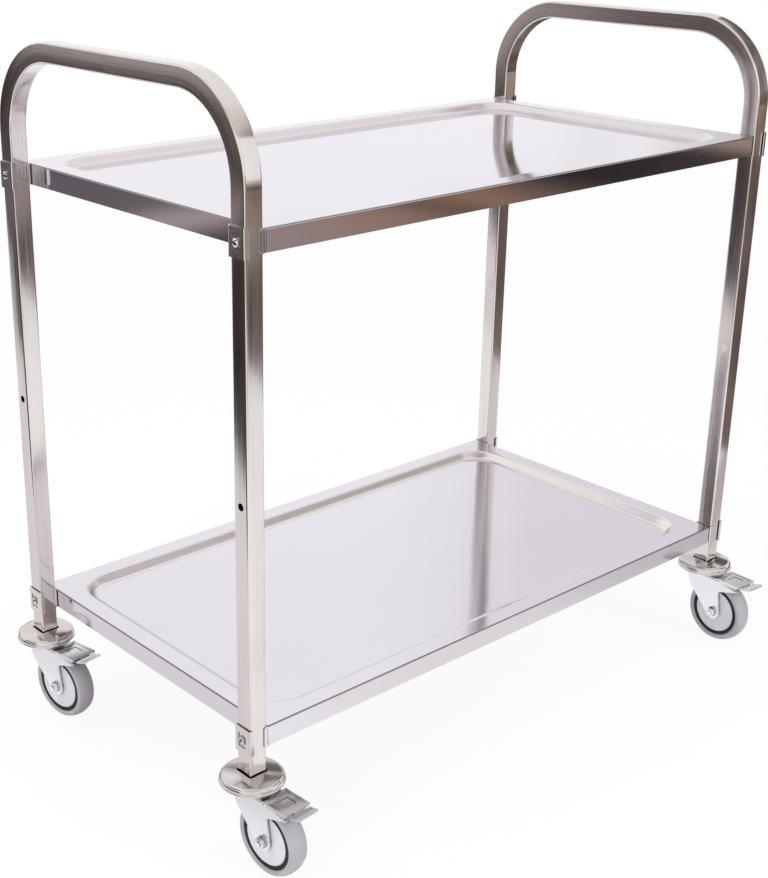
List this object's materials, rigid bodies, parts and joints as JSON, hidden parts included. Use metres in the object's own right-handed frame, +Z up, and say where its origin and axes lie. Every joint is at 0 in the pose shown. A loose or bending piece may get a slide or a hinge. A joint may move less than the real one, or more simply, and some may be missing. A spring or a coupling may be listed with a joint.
{
  "type": "serving trolley",
  "caption": "Two-tier stainless serving trolley with dished shelves between bent square-tube end frames that form the push handles, on swivel casters with foot brakes and bumper caps.",
  "frame": {"origin": "on the floor, midway between the four legs", "axes": "+X along the shelves, +Y across them away from the side the brake pedals point to, +Z up"},
  "size_m": [1.0074, 0.6175, 0.955],
  "materials": {
    "tube_steel": "satin polished stainless tube",
    "shelf_steel": "bright pressed stainless sheet",
    "bracket_steel": "folded stainless sheet",
    "fastener_steel": "bright plated fasteners",
    "zinc_steel": "blue-white zinc plate",
    "pedal_steel": "zinc-plated stamping",
    "shoe_steel": "plain brake shoe",
    "bumper_chrome": "polished stainless cap",
    "tyre_rubber": "grey non-marking rubber",
    "core_plastic": "dark moulded core",
    "cap_plastic": "light grey moulded cap",
    "insert_plastic": "black moulded plug",
    "plug_plastic": "pale press-in cap"
  },
  "bodies": {
    "frame": {"left_end_frame": "tube_steel", "right_end_frame": "tube_steel", "upper_shelf": "shelf_steel", "lower_shelf": "shelf_steel", "clamp_plates": "bracket_steel", "saddle_plates": "bracket_steel", "shelf_screws": "fastener_steel", "screw_washers": "fastener_steel", "shelf_nuts": "fastener_steel", "hole_plugs": "plug_plastic", "leg_inserts": "insert_plastic", "caster_stems": "fastener_steel", "bumper_cap_front_left": "bumper_chrome", "swivel_race_front_left": "zinc_steel", "bumper_cap_back_left": "bumper_chrome", "swivel_race_back_left": "zinc_steel", "bumper_cap_front_right": "bumper_chrome", "swivel_race_front_right": "zinc_steel", "bumper_cap_back_right": "bumper_chrome", "swivel_race_back_right": "zinc_steel"},
    "caster_front_left": {"fork_front_left": "zinc_steel", "axle_bolt_front_left": "fastener_steel", "axle_nut_front_left": "fastener_steel", "axle_sleeve_front_left": "fastener_steel", "pedal_pin_front_left": "fastener_steel"},
    "wheel_front_left": {"wheel_core_front_left": "core_plastic", "tyre_front_left": "tyre_rubber", "hub_caps_front_left": "cap_plastic"},
    "pedal_front_left": {"brake_pedal_front_left": "pedal_steel", "brake_shoe_front_left": "shoe_steel"},
    "caster_back_left": {"fork_back_left": "zinc_steel", "axle_bolt_back_left": "fastener_steel", "axle_nut_back_left": "fastener_steel", "axle_sleeve_back_left": "fastener_steel", "pedal_pin_back_left": "fastener_steel"},
    "wheel_back_left": {"wheel_core_back_left": "core_plastic", "tyre_back_left": "tyre_rubber", "hub_caps_back_left": "cap_plastic"},
    "pedal_back_left": {"brake_pedal_back_left": "pedal_steel", "brake_shoe_back_left": "shoe_steel"},
    "caster_front_right": {"fork_front_right": "zinc_steel", "axle_bolt_front_right": "fastener_steel", "axle_nut_front_right": "fastener_steel", "axle_sleeve_front_right": "fastener_steel", "pedal_pin_front_right": "fastener_steel"},
    "wheel_front_right": {"wheel_core_front_right": "core_plastic", "tyre_front_right": "tyre_rubber", "hub_caps_front_right": "cap_plastic"},
    "pedal_front_right": {"brake_pedal_front_right": "pedal_steel", "brake_shoe_front_right": "shoe_steel"},
    "caster_back_right": {"fork_back_right": "zinc_steel", "axle_bolt_back_right": "fastener_steel", "axle_nut_back_right": "fastener_steel", "axle_sleeve_back_right": "fastener_steel", "pedal_pin_back_right": "fastener_steel"},
    "wheel_back_right": {"wheel_core_back_right": "core_plastic", "tyre_back_right": "tyre_rubber", "hub_caps_back_right": "cap_plastic"},
    "pedal_back_right": {"brake_pedal_back_right": "pedal_steel", "brake_shoe_back_right": "shoe_steel"}
  },
  "joints": [
    {"name": "swivel_front_left", "type": "hinge", "parent": "frame", "child": "caster_front_left", "pos_m": [-0.4625, -0.2375, 0.105], "axis": [0, 0, 1], "continuous": true},
    {"name": "wheel_spin_front_left", "type": "hinge", "parent": "caster_front_left", "child": "wheel_front_left", "pos_m": [-0.46024, -0.27443, 0.05], "axis": [0.9981, 0.061, 0], "continuous": true},
    {"name": "brake_pedal_front_left", "type": "hinge", "parent": "caster_front_left", "child": "pedal_front_left", "pos_m": [-0.46, -0.27842, 0.103], "axis": [0.9981, 0.061, 0], "range_deg": [0, 8]},
    {"name": "swivel_back_left", "type": "hinge", "parent": "frame", "child": "caster_back_left", "pos_m": [-0.4625, 0.2375, 0.105], "axis": [0, 0, 1], "continuous": true},
    {"name": "wheel_spin_back_left", "type": "hinge", "parent": "caster_back_left", "child": "wheel_back_left", "pos_m": [-0.45703, 0.20091, 0.05], "axis": [0.989, 0.1478, 0], "continuous": true},
    {"name": "brake_pedal_back_left", "type": "hinge", "parent": "caster_back_left", "child": "pedal_back_left", "pos_m": [-0.45644, 0.19695, 0.103], "axis": [0.989, 0.1478, 0], "range_deg": [0, 8]},
    {"name": "swivel_front_right", "type": "hinge", "parent": "frame", "child": "caster_front_right", "pos_m": [0.4625, -0.2375, 0.105], "axis": [0, 0, 1], "continuous": true},
    {"name": "wheel_spin_front_right", "type": "hinge", "parent": "caster_front_right", "child": "wheel_front_right", "pos_m": [0.46056, -0.27445, 0.05], "axis": [0.9986, -0.0523, 0], "continuous": true},
    {"name": "brake_pedal_front_right", "type": "hinge", "parent": "caster_front_right", "child": "pedal_front_right", "pos_m": [0.46035, -0.27844, 0.103], "axis": [0.9986, -0.0523, 0], "range_deg": [0, 8]},
    {"name": "swivel_back_right", "type": "hinge", "parent": "frame", "child": "caster_back_right", "pos_m": [0.4625, 0.2375, 0.105], "axis": [0, 0, 1], "continuous": true},
    {"name": "wheel_spin_back_right", "type": "hinge", "parent": "caster_back_right", "child": "wheel_back_right", "pos_m": [0.4625, 0.2005, 0.05], "axis": [1, 0, 0], "continuous": true},
    {"name": "brake_pedal_back_right", "type": "hinge", "parent": "caster_back_right", "child": "pedal_back_right", "pos_m": [0.4625, 0.1965, 0.103], "axis": [1, 0, 0], "range_deg": [0, 8]}
  ]
}
